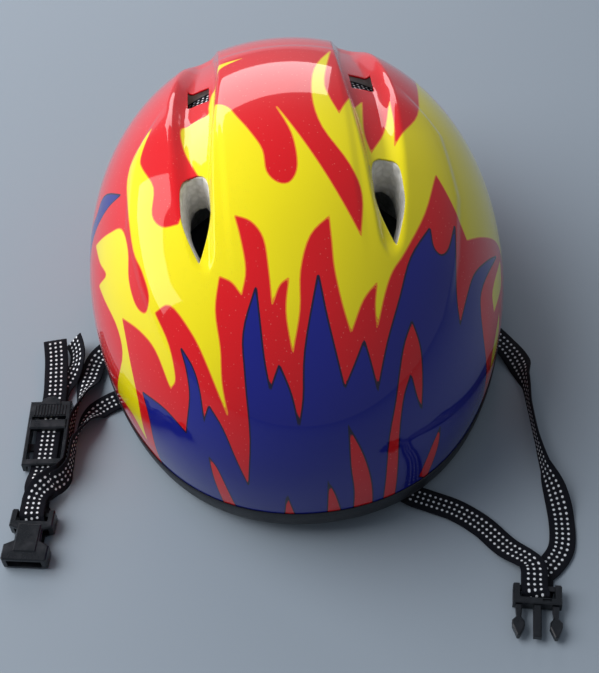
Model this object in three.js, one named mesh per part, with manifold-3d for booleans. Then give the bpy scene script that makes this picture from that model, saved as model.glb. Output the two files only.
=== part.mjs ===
// A child's cycling helmet standing on its rim, with its webbing and side-release buckle laid on the table.
// Millimetres, +Z up. The helmet's front faces -Y and +X is the wearer's left.
// The origin is the middle of the helmet's footprint, at the height of the lowest rim feet.

import * as THREE from 'three';
import { mergeVertices } from 'three/addons/utils/BufferGeometryUtils.js';
import Module from 'manifold-3d';

const wasm = await Module();
wasm.setup();

// ---------------------------------------------------------------- driving dimensions

const DOME = {
  halfWidth: 103,
  frontLength: 130,
  rearLength: 136,
  crownHeight: 106,
  lowerHeight: 130,
  centreZ: 36,
  power: 2.05,
  egg: 0.05,
};
const CAVITY = { halfWidth: 80, halfLength: 100, crownHeight: 81, centreY: 1 };
const SHELL = { thickness: 0.9, linerInset: 1.2 };
const RIM = {
  browRise: 10,
  browHalfAngle: 44,
  earRise: 12,
  earCentre: -4,
  earHalfAngle: 34,
  shellEdge: 11.3,
  trimTop: 11,
  trimBottom: 1.5,
  linerBottom: 1.8,
};
const GRID = { around: 40, down: 15, lowestAlpha: 122 };

// Each row of the channel: angle back from straight up, inner edge, outer edge, depth.
const CHANNEL = [
  [-40, 39.6, 40.6, 0.2],
  [-36, 36.6, 44.5, 2.0],
  [-27, 35.0, 48.5, 3.6],
  [-12, 33.8, 51.6, 5.2],
  [6, 31.6, 52.6, 7.2],
  [22, 29.4, 52.6, 9.0],
  [36, 28.4, 50.5, 9.6],
  [50, 29.0, 47.5, 7.5],
  [66, 33.0, 41.0, 0.2],
];
const CROWN_VENT = {
  centre: 42.6,
  halfWidth: 6.7,
  front: -36,
  rear: -9,
  slotCentre: 42,
  slotHalfWidth: 5,
  slotFront: -34.5,
  slotRear: -10,
};
const REAR_VENT = { inner: 34, outer: 44.5, front: 25, rear: 35 };

const WEB = { width: 12, thickness: 1.1 };
const TABLE_GAP = 0.3;
const REAR_BRIDGE = { y: 50.5, sunk: 12.9, nearSurface: 2.9, sinkAngle: 37, riseAngle: 52, endAngle: 71 };
const FRONT_BRIDGE = { y: -76, nearSurface: 2.9, endAngle: 70 };

const SLIDER = { origin: [-130, -58.5, 0], yaw: -5, halfWidth: 10.3, halfLength: 19, rail: 1.8 };
const SOCKET = { origin: [-134, -103, 0], yaw: -9, length: 28, low: 0.3, high: 8.1 };
const PLUG = { origin: [92.5, -167, 0], yaw: -10.8, bodyLength: 10, length: 25.5, low: 0.3, high: 6.3 };

const COLOURS = {
  shell: [0xc8141c, 0.18],
  foam: [0xe9e7e0, 0.85],
  trim: [0x17171a, 0.6],
  pad: [0x1c1d21, 0.95],
  hook: [0x101012, 0.95],
  webbing: [0x0d0e12, 0.8],
  plastic: [0x121316, 0.42],
};

// ---------------------------------------------------------------- small helpers

const rad = THREE.MathUtils.degToRad;
const lerp = THREE.MathUtils.lerp;
const smooth = THREE.MathUtils.smoothstep;
const group = new THREE.Group();

function addMesh(name, geometry, kind, placement) {
  const [color, roughness] = COLOURS[kind];
  const material = new THREE.MeshStandardMaterial({ color, roughness, metalness: 0 });
  const mesh = new THREE.Mesh(geometry, material);
  mesh.name = name;
  if (placement) {
    mesh.position.set(...placement.origin);
    mesh.rotation.z = rad(placement.yaw);
  }
  group.add(mesh);
}

function toGeometry(vertices, triangles) {
  const geometry = new THREE.BufferGeometry();
  geometry.setAttribute('position', new THREE.Float32BufferAttribute(vertices.flat(), 3));
  geometry.setIndex(triangles.flat());
  return geometry;
}

function toSolid(geometry) {
  const bare = geometry.clone();
  bare.deleteAttribute('normal');
  bare.deleteAttribute('uv');
  const merged = mergeVertices(bare, 1e-4);
  return new wasm.Manifold(
    new wasm.Mesh({
      numProp: 3,
      vertProperties: new Float32Array(merged.attributes.position.array),
      triVerts: new Uint32Array(merged.index.array),
    }),
  );
}

function fromSolid(solid) {
  const mesh = solid.getMesh();
  const geometry = new THREE.BufferGeometry();
  geometry.setAttribute('position', new THREE.Float32BufferAttribute(mesh.vertProperties, 3));
  geometry.setIndex(new THREE.Uint32BufferAttribute(mesh.triVerts, 1));
  return geometry;
}

// Joins a stack of equal convex rings of points into one closed solid with its faces outwards.
function loft(rings) {
  const count = rings[0].length;
  const last = (rings.length - 1) * count;
  const vertices = rings.flat();
  const triangles = [];
  for (let i = 0; i + 1 < rings.length; i += 1) {
    for (let j = 0; j < count; j += 1) {
      const a = i * count + j;
      const b = i * count + ((j + 1) % count);
      triangles.push([a, b, b + count], [a, b + count, a + count]);
    }
  }
  for (let j = 1; j + 1 < count; j += 1) {
    triangles.push([j + 1, j, 0], [last, last + j, last + j + 1]);
  }
  const outward = signedVolume(vertices, triangles) > 0;
  return toGeometry(vertices, outward ? triangles : triangles.map(([a, b, c]) => [c, b, a]));
}

function signedVolume(vertices, triangles) {
  let sum = 0;
  for (const [a, b, c] of triangles) {
    const [p, q, r] = [vertices[a], vertices[b], vertices[c]];
    sum += p[0] * (q[1] * r[2] - q[2] * r[1]);
    sum += p[1] * (q[2] * r[0] - q[0] * r[2]);
    sum += p[2] * (q[0] * r[1] - q[1] * r[0]);
  }
  return sum;
}

// ---------------------------------------------------------------- the dome's surface

function domeRadius(dx, dy, dz) {
  const b = dy < 0 ? DOME.frontLength : DOME.rearLength;
  const c = dz > 0 ? DOME.crownHeight : DOME.lowerHeight;
  const sum =
    (Math.abs(dx) / DOME.halfWidth) ** DOME.power +
    (Math.abs(dy) / b) ** DOME.power +
    (Math.abs(dz) / c) ** DOME.power;
  return sum ** (-1 / DOME.power);
}

function domePoint(alpha, theta, inset) {
  const dx = Math.sin(alpha) * Math.cos(theta);
  const dy = Math.sin(alpha) * Math.sin(theta);
  const dz = Math.cos(alpha);
  const r = domeRadius(dx, dy, dz);
  const p = [dx * r, dy * r, dz * r];
  const b = dy < 0 ? DOME.frontLength : DOME.rearLength;
  const c = dz > 0 ? DOME.crownHeight : DOME.lowerHeight;
  const steep = (value, size) => (Math.sign(value) * Math.abs(value / size) ** (DOME.power - 1)) / size;
  const normal = new THREE.Vector3(steep(p[0], DOME.halfWidth), steep(p[1], b), steep(p[2], c)).normalize();
  const widen = 1 + (DOME.egg * p[1]) / 130;
  return [
    p[0] * widen - normal.x * inset,
    p[1] - normal.y * inset,
    p[2] + DOME.centreZ - normal.z * inset,
  ];
}

// Distance of the dome's surface from the line (y = 0, z = centreZ), at a given x and angle back from straight up.
function domeReach(x, beta) {
  const s = Math.sin(beta);
  const c = Math.cos(beta);
  const b = s < 0 ? DOME.frontLength : DOME.rearLength;
  const across = (Math.abs(s) / b) ** DOME.power + (Math.abs(c) / DOME.crownHeight) ** DOME.power;
  let reach = 100;
  for (let i = 0; i < 6; i += 1) {
    const narrow = x / (1 + (DOME.egg * reach * s) / 130);
    const left = 1 - (Math.abs(narrow) / DOME.halfWidth) ** DOME.power;
    reach = (Math.max(left, 0.01) / across) ** (1 / DOME.power);
  }
  return reach;
}

function fromBeta(x, beta, reach) {
  return [x, reach * Math.sin(beta), DOME.centreZ + reach * Math.cos(beta)];
}

// Surface point in the upright plane y = const, at an angle from straight up towards +X.
function surfaceInSlice(y, phi, inset) {
  const b = y < 0 ? DOME.frontLength : DOME.rearLength;
  const left = 1 - (Math.abs(y) / b) ** DOME.power;
  const s = Math.sin(phi);
  const c = Math.cos(phi);
  const width = DOME.halfWidth * (1 + (DOME.egg * y) / 130);
  const across = (Math.abs(s) / width) ** DOME.power + (Math.abs(c) / DOME.crownHeight) ** DOME.power;
  const reach = (left / across) ** (1 / DOME.power) - inset;
  return [s * reach, y, DOME.centreZ + c * reach];
}

function domeSolid(inset) {
  const rings = [];
  for (let i = 1; i <= GRID.down; i += 1) {
    const alpha = rad((GRID.lowestAlpha * i) / GRID.down);
    const ring = [];
    for (let j = 0; j < GRID.around; j += 1) {
      ring.push(domePoint(alpha, (2 * Math.PI * j) / GRID.around, inset));
    }
    rings.unshift(ring);
  }
  return toSolid(cappedRings(rings, [0, 0, -60], domePoint(0, 0, inset)));
}

// Rings from bottom to top, closed by one point below and one above.
function cappedRings(rings, bottom, top) {
  const count = rings[0].length;
  const vertices = [...rings.flat(), bottom, top];
  const low = rings.length * count;
  const high = low + 1;
  const triangles = [];
  for (let j = 0; j < count; j += 1) {
    const next = (j + 1) % count;
    triangles.push([low, next, j]);
    triangles.push([high, high - 1 - count + j, high - 1 - count + next]);
    for (let i = 0; i + 1 < rings.length; i += 1) {
      const a = i * count + j;
      const b = i * count + next;
      triangles.push([a, b, b + count], [a, b + count, a + count]);
    }
  }
  return toGeometry(vertices, triangles);
}

function cavityPoint(theta, z, inset) {
  const up = Math.max(0, z - DOME.centreZ) / CAVITY.crownHeight;
  const shrink = Math.sqrt(Math.max(0, 1 - up * up));
  const x = CAVITY.halfWidth * shrink * Math.cos(theta);
  const y = CAVITY.halfLength * shrink * Math.sin(theta);
  const lift = Math.max(0, z - DOME.centreZ) / CAVITY.crownHeight ** 2;
  const normal = new THREE.Vector3(x / CAVITY.halfWidth ** 2, y / CAVITY.halfLength ** 2, lift).normalize();
  return [x - normal.x * inset, y + CAVITY.centreY - normal.y * inset, z - normal.z * inset];
}

function cavitySolid(grow) {
  const rings = [];
  const heights = [-70, DOME.centreZ];
  for (let i = 1; i <= 7; i += 1) {
    heights.push(DOME.centreZ + CAVITY.crownHeight * Math.sin((Math.PI / 2) * (i / 8)));
  }
  for (const z of heights) {
    const ring = [];
    for (let j = 0; j < 36; j += 1) {
      ring.push(cavityPoint((2 * Math.PI * j) / 36, z, -grow));
    }
    rings.push(ring);
  }
  const middle = CAVITY.centreY;
  return toSolid(cappedRings(rings, [0, middle, -71], [0, middle, DOME.centreZ + CAVITY.crownHeight + grow]));
}

// ---------------------------------------------------------------- the rim

// Height of the rim's lower edge: flat at the rear and the temples, raised over the brow and the ears.
function rimHeight(theta) {
  const degrees = THREE.MathUtils.radToDeg(theta);
  const bump = (centre, half, rise) => {
    const away = Math.abs(((((degrees - centre) % 360) + 540) % 360) - 180);
    return away < half ? rise * Math.cos((away / half) * (Math.PI / 2)) ** 2 : 0;
  };
  return (
    bump(-90, RIM.browHalfAngle, RIM.browRise) +
    bump(RIM.earCentre, RIM.earHalfAngle, RIM.earRise) +
    bump(180 - RIM.earCentre, RIM.earHalfAngle, RIM.earRise)
  );
}

// Everything lower than the rim's edge plus a given height.
function belowRim(lift) {
  const mean = 4;
  const ringAt = (radius, zOf) => {
    const ring = [];
    for (let j = 0; j < GRID.around; j += 1) {
      const theta = (2 * Math.PI * j) / GRID.around;
      ring.push([radius * Math.cos(theta), radius * Math.sin(theta), zOf(theta)]);
    }
    return ring;
  };
  const rings = [
    ringAt(190, () => -90),
    ringAt(190, (theta) => rimHeight(theta) + lift),
    ringAt(60, (theta) => rimHeight(theta) + lift),
    ringAt(20, () => mean + lift),
  ];
  return toSolid(cappedRings(rings, [0, 0, -90], [0, 0, mean + lift]));
}

// ---------------------------------------------------------------- channels and vents

function channelRow(beta) {
  for (let i = 0; i + 1 < CHANNEL.length; i += 1) {
    const [b0, in0, out0, d0] = CHANNEL[i];
    const [b1, in1, out1, d1] = CHANNEL[i + 1];
    if (beta <= b1) {
      const t = (beta - b0) / (b1 - b0);
      return [lerp(in0, in1, t), lerp(out0, out1, t), lerp(d0, d1, t)];
    }
  }
  return CHANNEL[CHANNEL.length - 1].slice(1);
}

// One long channel beside the crown, cut into the dome. grow makes it wider and deeper for the layer beneath.
function channelSolid(side, grow) {
  const rings = [];
  for (let beta = -40; beta <= 66; beta += 106 / 16) {
    const [inner, outer, depth] = channelRow(beta);
    const angle = rad(beta);
    const floorIn = inner + Math.min(2.2, (outer - inner) * 0.2);
    const floorOut = outer - Math.min(7, (outer - inner) * 0.42);
    const at = (x, drop) => fromBeta(side * x, angle, domeReach(x, angle) - drop);
    const ring = [
      at(inner - grow - 0.3, -8),
      at(inner - grow, 0.5),
      at(floorIn - grow * 0.5, depth + grow),
      at(floorOut + grow * 0.5, depth * 0.92 + grow),
      at(outer + grow * 1.6, 0.3),
      at(outer + grow * 1.6 + 1.2, -8),
    ];
    rings.push(ring);
  }
  return toSolid(loft(rings));
}

function bothSides(make) {
  return make(1).add(make(-1));
}

// A teardrop hole in a channel's floor: blunt at the rear, pointed in front, narrowing inwards to a slot.
function crownVentSolid(side, extra) {
  const { centre, halfWidth, front, rear, slotCentre, slotHalfWidth, slotFront, slotRear } = CROWN_VENT;
  const outline = [];
  for (let k = 0; k < 16; k += 1) {
    const turn = (2 * Math.PI * k) / 16;
    const along = Math.cos(turn);
    const taper = along > 0 ? (1 - along ** 5) ** 0.45 : 1 - (-along) ** 1.45;
    outline.push([Math.sign(Math.sin(turn)) * taper, along]);
  }
  const ringAt = (middle, half, from, to, drop) =>
    outline.map(([wide, along]) => {
      const x = middle + (half + extra) * wide;
      const beta = rad((from + to) / 2 + ((to - from) / 2 + extra * 0.4) * along);
      return fromBeta(side * x, beta, domeReach(x, beta) - drop);
    });
  const rings = [
    ringAt(slotCentre, slotHalfWidth, slotFront, slotRear, 46),
    ringAt(slotCentre, slotHalfWidth, slotFront, slotRear, 24),
    ringAt(centre, halfWidth, front, rear, 3),
    ringAt(centre, halfWidth, front, rear, -6),
  ];
  return toSolid(loft(rings));
}

function rearVentSolid(side, extra) {
  const { inner, outer, front, rear } = REAR_VENT;
  const corner = (x, beta, drop) => fromBeta(side * x, rad(beta), domeReach(x, rad(beta)) - drop);
  const ringAt = (drop, shrink) => [
    corner(inner - extra + shrink, front - extra * 0.5 + shrink * 0.4, drop),
    corner(outer + extra - shrink, front + 1.5 - extra * 0.5 + shrink * 0.4, drop),
    corner(outer + extra - shrink, rear + 1.5 + extra * 0.5 - shrink * 0.4, drop),
    corner(inner - extra + shrink, rear + extra * 0.5 - shrink * 0.4, drop),
  ];
  const rings = [ringAt(48, 1.6), ringAt(9, 0), ringAt(-6, 0)];
  return toSolid(loft(rings));
}

// ---------------------------------------------------------------- webbing

// A flat band swept through rows of [x, y, z, width direction], kept just above the table.
// lift thickens it on its outer side, for a groove.
function ribbon(rows, { width = WEB.width, thickness = WEB.thickness, lift = 0, steps = 3 } = {}) {
  const curve = new THREE.CatmullRomCurve3(rows.map((r) => new THREE.Vector3(r[0], r[1], r[2])));
  const count = (rows.length - 1) * steps;
  const rings = [];
  for (let i = 0; i <= count; i += 1) {
    const t = i / count;
    const spot = t * (rows.length - 1);
    const k = Math.min(Math.floor(spot), rows.length - 2);
    const f = spot - k;
    const along = curve.getTangent(t);
    const side = new THREE.Vector3(
      lerp(rows[k][3], rows[k + 1][3], f),
      lerp(rows[k][4], rows[k + 1][4], f),
      lerp(rows[k][5], rows[k + 1][5], f),
    );
    side.addScaledVector(along, -side.dot(along)).normalize();
    const face = new THREE.Vector3().crossVectors(side, along);
    const p = curve.getPoint(t);
    const at = (u, v) => p.clone().addScaledVector(side, u).addScaledVector(face, v).toArray();
    const half = thickness / 2;
    const over = -half - lift;
    const ring = [at(-width / 2, over), at(-width / 2, half), at(width / 2, half), at(width / 2, over)];
    const sunk = Math.max(0, TABLE_GAP - Math.min(...ring.map((corner) => corner[2])));
    rings.push(ring.map(([x, y, z]) => [x, y, z + sunk]));
  }
  return loft(rings);
}

// A row of a band that crosses the helmet in the plane y = const, lying along the surface above it.
function bridgeRow(y, phi, inset) {
  const b = y < 0 ? DOME.frontLength : DOME.rearLength;
  const slope = -y / b ** 2 / Math.sqrt(1 - (y / b) ** 2);
  const lean = [DOME.halfWidth * slope * Math.sin(phi), 1, DOME.crownHeight * slope * Math.cos(phi)];
  return [...surfaceInSlice(y, phi, inset), ...lean];
}

function rearBridgeRows() {
  const { y, sunk, nearSurface, sinkAngle, riseAngle, endAngle } = REAR_BRIDGE;
  const rows = [];
  for (let k = -8; k <= 8; k += 1) {
    const phi = (endAngle * k) / 8;
    const rise = smooth(Math.abs(phi), sinkAngle, riseAngle);
    const tuck = Math.abs(k) === 8 ? 2 : 0;
    rows.push(bridgeRow(y, rad(phi), lerp(sunk, nearSurface, rise) + tuck));
  }
  return rows;
}

function frontBridgeRows() {
  const { y, nearSurface, endAngle } = FRONT_BRIDGE;
  const rows = [];
  for (let k = -5; k <= 5; k += 1) {
    const tuck = Math.abs(k) === 5 ? 3 : 0;
    rows.push(bridgeRow(y, rad((endAngle * k) / 5), nearSurface + tuck));
  }
  return rows;
}

// A band's ends turn inwards through the liner to the cavity's wall.
function withInnerEnds(rows, mouth) {
  const first = rows[0];
  const between = (f) => [
    lerp(first[0], -mouth[0], f),
    lerp(first[1], mouth[1], f),
    lerp(first[2], mouth[2], f) - 2 * Math.sin(Math.PI * f),
    0,
    1,
    0,
  ];
  const left = [between(1), between(0.62), between(0.3)];
  const right = left.map((r) => [-r[0], r[1], r[2], 0, 1, 0]).reverse();
  return [...left, ...rows, ...right];
}

// ---------------------------------------------------------------- layers of the helmet

const rearMouth = cavityPoint(rad(16.5), 55, 0.4);
const frontMouth = cavityPoint(rad(-56), 55, 0.4);
const rearBridge = withInnerEnds(rearBridgeRows(), rearMouth);
const frontBridge = withInnerEnds(frontBridgeRows(), frontMouth);

// The open groove over the liner, and the closed slot that runs on past both of the band's ends.
function bridgeGroove(surfaceRows, rows) {
  const beyond = (end, next) => end.map((value, i) => (i < 3 ? value + (value - next[i]) * 0.3 : value));
  const long = [beyond(rows[0], rows[1]), ...rows, beyond(rows[rows.length - 1], rows[rows.length - 2])];
  const open = toSolid(ribbon(surfaceRows, { width: 13.4, thickness: 2, lift: 16, steps: 1 }));
  return open.add(toSolid(ribbon(long, { width: 13.4, thickness: 2.4, steps: 1 })));
}

function buildShell() {
  const outer = domeSolid(0).subtract(bothSides((s) => channelSolid(s, 0)));
  const inner = domeSolid(SHELL.thickness).subtract(bothSides((s) => channelSolid(s, SHELL.thickness)));
  return outer
    .subtract(inner)
    .subtract(belowRim(RIM.shellEdge))
    .subtract(bothSides((s) => crownVentSolid(s, 0)))
    .subtract(bothSides((s) => rearVentSolid(s, 0)));
}

function buildLiner() {
  return domeSolid(SHELL.linerInset)
    .subtract(bothSides((s) => channelSolid(s, SHELL.linerInset)))
    .subtract(cavitySolid(0))
    .subtract(belowRim(RIM.linerBottom))
    .subtract(bothSides((s) => crownVentSolid(s, 0.2)))
    .subtract(bothSides((s) => rearVentSolid(s, 0.4)))
    .subtract(bridgeGroove(rearBridgeRows(), rearBridge))
    .subtract(bridgeGroove(frontBridgeRows(), frontBridge));
}

function buildTrim() {
  return domeSolid(-0.1)
    .intersect(belowRim(RIM.trimTop))
    .subtract(belowRim(0))
    .subtract(domeSolid(SHELL.thickness).subtract(belowRim(RIM.trimBottom)))
    .subtract(cavitySolid(7));
}

addMesh('outer_shell', fromSolid(buildShell()), 'shell');
addMesh('foam_liner', fromSolid(buildLiner()), 'foam');
addMesh('edge_trim', fromSolid(buildTrim()), 'trim');

// ---------------------------------------------------------------- comfort pads

// A pad lying on the cavity's wall: centre angle, half angle, lowest and highest z, and its two depths from the wall.
function wallPad(centre, halfAngle, low, high, near, far) {
  const rings = [];
  const across = 8;
  for (let i = 0; i <= across; i += 1) {
    const s = (2 * i) / across - 1;
    const theta = rad(centre + halfAngle * s);
    const round = Math.sqrt(Math.max(0, 1 - Math.abs(s) ** 3.2));
    const middle = (low + high) / 2;
    const half = ((high - low) / 2) * lerp(0.55, 1, round);
    const thick = lerp(near + (far - near) * 0.5, far, round);
    const edge = lerp(near, thick, 0.55);
    rings.push([
      cavityPoint(theta, middle - half, near),
      cavityPoint(theta, middle - half, edge),
      cavityPoint(theta, middle - half * 0.7, thick),
      cavityPoint(theta, middle + half * 0.7, thick),
      cavityPoint(theta, middle + half, edge),
      cavityPoint(theta, middle + half, near),
    ]);
  }
  return loft(rings);
}

// A disc under the crown that follows the cavity's roof.
function crownPad(radius, near, far) {
  const top = DOME.centreZ + CAVITY.crownHeight;
  const roof = (r) => top - CAVITY.crownHeight * (1 - Math.sqrt(1 - (r / CAVITY.halfWidth) ** 2));
  const profile = [
    [0.001, top - far],
    [radius * 0.55, roof(radius * 0.55) - far],
    [radius * 0.9, roof(radius * 0.9) - far + 0.8],
    [radius, roof(radius) - (near + far) / 2],
    [radius * 0.96, roof(radius * 0.96) - near],
    [radius * 0.5, roof(radius * 0.5) - near],
    [0.001, top - near],
  ];
  profile[0][0] = 0;
  profile[profile.length - 1][0] = 0;
  const lathe = new THREE.LatheGeometry(profile.map(([r, z]) => new THREE.Vector2(r, z)), 24);
  lathe.rotateX(Math.PI / 2);
  lathe.translate(0, CAVITY.centreY, 0);
  return fromSolid(toSolid(lathe));
}

const PADS = [
  ['brow_pad', -90, 17, 20, 44],
  ['rear_pad', 90, 20, 26, 58],
  ['left_side_pad', -12, 18, 64, 90],
  ['right_side_pad', 192, 18, 64, 90],
];
for (const [name, centre, half, low, high] of PADS) {
  addMesh(name, wallPad(centre, half, low, high, 2.1, 8), 'pad');
  const middle = (low + high) / 2;
  addMesh(`${name}_hook_patch`, wallPad(centre, half * 0.3, middle - 7, middle + 7, 1, 1.75), 'hook');
}
addMesh('crown_pad', crownPad(30, 1.9, 7.9), 'pad');
addMesh('crown_pad_hook_patch', crownPad(11, 0.7, 1.5), 'hook');

// ---------------------------------------------------------------- buckle pieces

function slab(points, low, high, bevel = 0.5) {
  const shape = new THREE.Shape(points.map(([x, y]) => new THREE.Vector2(x, y)));
  const geometry = new THREE.ExtrudeGeometry(shape, {
    depth: high - low - 2 * bevel,
    bevelEnabled: bevel > 0,
    bevelThickness: bevel,
    bevelSize: bevel,
    bevelOffset: -bevel,
    bevelSegments: 1,
  });
  geometry.translate(0, 0, low + bevel);
  return toSolid(geometry);
}

function rectangle(x0, x1, y0, y1) {
  return [
    [x0, y0],
    [x1, y0],
    [x1, y1],
    [x0, y1],
  ];
}

function block(x0, x1, y0, y1, z0, z1) {
  return slab(rectangle(x0, x1, y0, y1), z0, z1, 0);
}

// Female half: strap bar at y = 0, a waist with a window on each side, and the mouth at the far end.
function buildSocket() {
  const { length, low, high } = SOCKET;
  const right = [
    [9.9, -0.6],
    [10.3, -1.5],
    [10.3, -9.6],
    [6.2, -11.2],
    [6.2, -17.4],
    [10.7, -19.8],
    [10.7, -length + 0.8],
    [9.9, -length],
  ];
  const outline = [...right, ...right.map(([x, y]) => [-x, y]).reverse()];
  return slab(outline, low, high, 0.6)
    .subtract(block(-8.2, 8.2, -length - 1, -8.6, 1.9, 6.5))
    .subtract(block(-7.6, 7.6, -7.1, -2.7, -1, 10))
    .subtract(block(-7.6, 7.6, -2.8, 1, 4.9, 10))
    .subtract(block(-7.6, 7.6, -2.8, 1, -1, 3.1))
    .add(slab(rectangle(-5.5, 5.2, -23.6, -8.9), high - 0.6, high + 0.5, 0.4));
}

// Male half: strap bar at y = 0, then the block that the two arms and the centre guide stand out of.
function buildPlugBody() {
  const { bodyLength, length, low, high } = PLUG;
  const outline = [
    [-10.2, -0.2],
    [-10.75, -0.9],
    [-10.75, -bodyLength],
    [10.75, -bodyLength],
    [10.75, -0.9],
    [10.2, -0.2],
  ];
  return slab(outline, low, high, 0.5)
    .subtract(block(-7.8, 7.8, -7.2, -2.6, -1, 9))
    .subtract(block(-7.8, 7.8, -2.7, 1, 4.2, 9))
    .subtract(block(-7.8, 7.8, -2.7, 1, -1, 2.4))
    .subtract(block(2.2, 6.2, -9.1, -7.6, high - 0.8, 9))
    .add(slab(rectangle(-1.8, 1.8, -length, -bodyLength + 1), 2, 5, 0.4));
}

// One springy arm with a pointed, swollen tip.
function buildPlugArm(side) {
  const { bodyLength, length } = PLUG;
  const start = -bodyLength - 0.3;
  const shape = [
    [side * 9.6, start],
    [side * 6.6, start],
    [side * 7.0, -16.4],
    [side * 5.6, -18.4],
    [side * 5.4, -20.6],
    [side * 7.6, -length],
    [side * 8.8, -length],
    [side * 10.9, -20.4],
    [side * 11.0, -18.2],
    [side * 9.2, -16.2],
  ];
  return slab(side > 0 ? shape : shape.reverse(), 1.4, 5.4, 0.5);
}

function buildSlider() {
  const { halfWidth, halfLength, rail } = SLIDER;
  const tab = [];
  for (let k = 0; k <= 8; k += 1) {
    const turn = (Math.PI * k) / 8;
    tab.push([5.4 * Math.cos(turn), 16.5 + 5.2 * Math.sin(turn)]);
  }
  let frame = slab(rectangle(-halfWidth, halfWidth, -halfLength, halfLength), 0.3, 6.5, 0.5)
    .subtract(block(-halfWidth + rail, halfWidth - rail, -halfLength - 1, halfLength + 1, 1.5, 4.7))
    .subtract(block(-halfWidth + rail, halfWidth - rail, -halfLength - 1, -7.5, -1, 2))
    .subtract(block(-halfWidth + rail, halfWidth - rail, -3.5, halfLength + 1, -1, 2))
    .subtract(block(-halfWidth + rail, halfWidth - rail, -halfLength + 3.2, 2, 4, 9))
    .subtract(block(-halfWidth + rail, halfWidth - rail, 7.6, 9.6, 4, 9))
    .add(slab(rectangle(-halfWidth + 1, halfWidth - 1, 2, 7.6), 4.7, 7.3, 0.7))
    .add(slab(tab, 4.7, 7, 0.4));
  for (let k = -5; k <= 5; k += 1) {
    frame = frame.add(block(k * 1.5 - 0.4, k * 1.5 + 0.4, 10.2, 16.4, 6, 7));
  }
  return frame;
}

addMesh('socket_body', fromSolid(buildSocket()), 'plastic', SOCKET);
addMesh('plug_body', fromSolid(buildPlugBody()), 'plastic', PLUG);
addMesh('plug_arm_left', fromSolid(buildPlugArm(1)), 'plastic', PLUG);
addMesh('plug_arm_right', fromSolid(buildPlugArm(-1)), 'plastic', PLUG);
addMesh('slider_frame', fromSolid(buildSlider()), 'plastic', SLIDER);

// ---------------------------------------------------------------- straps

// Turns rows given beside a buckle piece into rows in the helmet's frame.
function placed({ origin, yaw }, rows) {
  const c = Math.cos(rad(yaw));
  const s = Math.sin(rad(yaw));
  return rows.map(([x, y, z, wx, wy, wz]) => [
    origin[0] + x * c - y * s,
    origin[1] + x * s + y * c,
    z,
    wx * c - wy * s,
    wx * s + wy * c,
    wz,
  ]);
}

// A row on the cavity's wall, with the band lying flat against it. lean tips its width up the wall.
function onWall(angle, z, sign, lean = 0) {
  const at = new THREE.Vector3(...cavityPoint(rad(angle), z, 2));
  const above = new THREE.Vector3(...cavityPoint(rad(angle), z + 1, 2)).sub(at).normalize();
  const beside = new THREE.Vector3(...cavityPoint(rad(angle + sign), z, 2)).sub(at).normalize();
  return [...at.toArray(), ...beside.addScaledVector(above, lean).toArray()];
}

// A band folded round a strap bar: in over the top, down through the slot and back below.
const bar = (high, low, shift, y0) => [
  [-shift, 2.6, high, 1, 0, 0],
  [-shift, -0.6, high, 1, 0, 0],
  [-shift * 0.7, -3.6, high - 0.3, 1, 0, 0],
  [0, y0, (high + low) / 2, 1, 0, 0],
  [shift * 0.7, -3.6, low + 0.3, 1, 0, 0],
  [shift, -0.6, low, 1, 0, 0],
  [shift, 2.6, low, 1, 0, 0],
];

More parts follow.
